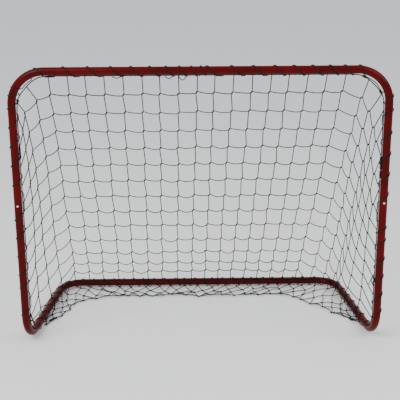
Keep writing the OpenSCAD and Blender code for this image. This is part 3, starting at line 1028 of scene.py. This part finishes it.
# %% Lacing on the base
SIDE_PITCH = 0.052
BACK_PITCH = 0.037
FLOOR_GAP = BASE_H - LACE_R - TUBE_REACH
TURN_WANDER = 0.0035
END_CLEAR = 0.006
MIDDLE_CLEAR = 0.012


def base_turns(start, end, pitch):
    """Turns at about one pitch, not quite evenly."""
    count = round((end - start) / pitch)
    even = [start + (end - start) * (i + 0.5) / count for i in range(count)]
    return [place + dice.uniform(-TURN_WANDER, TURN_WANDER) for place in even]


corner_marks = [base.nearest(Vector((x * HALF_BACK, BACK_Y, BASE_H))) for x in (-1, 1)]
middle_mark = base.length / 2
bend_half = math.pi / 4 * BACK_R
base_laces = {
    "left": (END_CLEAR, corner_marks[0] + bend_half),
    "back_left": (corner_marks[0] + bend_half, middle_mark - MIDDLE_CLEAR),
    "back_right": (middle_mark + MIDDLE_CLEAR, corner_marks[1] - bend_half),
    "right": (corner_marks[1] - bend_half, base.length - END_CLEAR),
}
for name, (start, end) in base_laces.items():
    replaced = f"lacing_{name}" if name.startswith("back") else f"lacing_side_{name}"
    pitch = BACK_PITCH if name.startswith("back") else SIDE_PITCH
    path = lacing_path(base, base_turns(start, end, pitch), BASE_SIDE, FLOOR_GAP)
    cords(f"lacing_base_{name}", [path], LACE_R, lace, [replaced], LACE_SIDES)

# %% [markdown]
# ## Ties
# The lacing isn't one perfect run. It ends in short tails near the feet, it is bunched in a few places on
# the uprights and at the top corners, and three small loops hang slack under the crossbar. These
# irregular places are what makes it look hand-laced, so each one is a short cord of its own.

# %% Ties and slack loops
SMOOTH_STEPS = 6
BUNCH_PITCH = 0.0045
BUNCH_STEPS = 8
BUNCH_REACH = STRAND_OUT + STRAND_R + LACE_R
LOOP_UNDER = 0.003
LOOP_FORWARD = 0.002
LOOP_SHOULDER = 0.7


def smooth_cord(places):
    """A cord through a few places, rounded between them."""
    path = [places[0]]
    for i in range(len(places) - 1):
        before = places[max(i - 1, 0)]
        a, b = places[i], places[i + 1]
        after = places[min(i + 2, len(places) - 1)]
        for j in range(1, SMOOTH_STEPS + 1):
            t = j / SMOOTH_STEPS
            bow = (b - before) * (t - 2 * t * t + t**3) * 0.5 + (after - a) * (t**3 - t * t) * 0.5
            path.append(a * (2 * t**3 - 3 * t * t + 1) + b * (3 * t * t - 2 * t**3) + bow)
    return path


def bunch(route, middle, turns, angle):
    """Close turns round the rope alone, which take up spare cord."""
    path = []
    for i in range(turns * BUNCH_STEPS + 1):
        s = middle + (i / BUNCH_STEPS - turns / 2) * BUNCH_PITCH
        centre = border_path(route, s, angle)
        out, towards = route.sides(s)[1:]
        turn = FULL_TURN * i / BUNCH_STEPS
        path.append(centre + round_about(out, towards, turn) * BUNCH_REACH)
    return path


def slack_loop(x_from, x_to, drop):
    """A loop of lacing that hangs under the crossbar."""
    under = Vector((0, 0, LOOP_UNDER))
    a, b = (border_path(mouth, on_mouth(x, BAR_Z), MOUTH_SIDE) - under for x in (x_from, x_to))
    dip = Vector((0, -LOOP_FORWARD, -drop))
    shoulders = [a.lerp(b, share) + dip * LOOP_SHOULDER for share in (0.25, 0.75)]
    return smooth_cord([a, shoulders[0], a.lerp(b, 0.5) + dip, shoulders[1], b])


tie_paths = [
    smooth_cord([mm(-549, 9, 112), mm(-546, 4, 96), mm(-541, 5, 78), mm(-538, 12, 62)]),
    smooth_cord([mm(-549, 11, 108), mm(-543, 10, 90), mm(-540, 12, 76), mm(-534, 22, 58)]),
    smooth_cord([mm(550, 6, 240), mm(544, 4, 226), mm(540, 6, 213), mm(545, 6, 198), mm(550, 6, 186)]),
    smooth_cord([mm(550, 8, 234), mm(541, 8, 220), mm(538, 10, 208), mm(533, 12, 196)]),
    bunch(mouth, on_mouth(-UPRIGHT_X, 640), 8, MOUTH_SIDE),
    bunch(mouth, on_mouth(UPRIGHT_X, 600), 9, MOUTH_SIDE),
    bunch(mouth, on_mouth(UPRIGHT_X, 565), 5, MOUTH_SIDE),
    bunch(mouth, on_mouth(UPRIGHT_X, 215), 3, MOUTH_SIDE),
    bunch(mouth, on_mouth(-552, 800), 3, MOUTH_SIDE),
    bunch(mouth, on_mouth(485, 870), 3, MOUTH_SIDE),
    bunch(mouth, on_mouth(540, 820), 3, MOUTH_SIDE),
    slack_loop(-108, -84, 0.006),
    slack_loop(-68, -44, 0.011),
    slack_loop(-262, -236, 0.004),
]
cords("lacing_ties", tie_paths, LACE_R, lace, sides=LACE_SIDES)
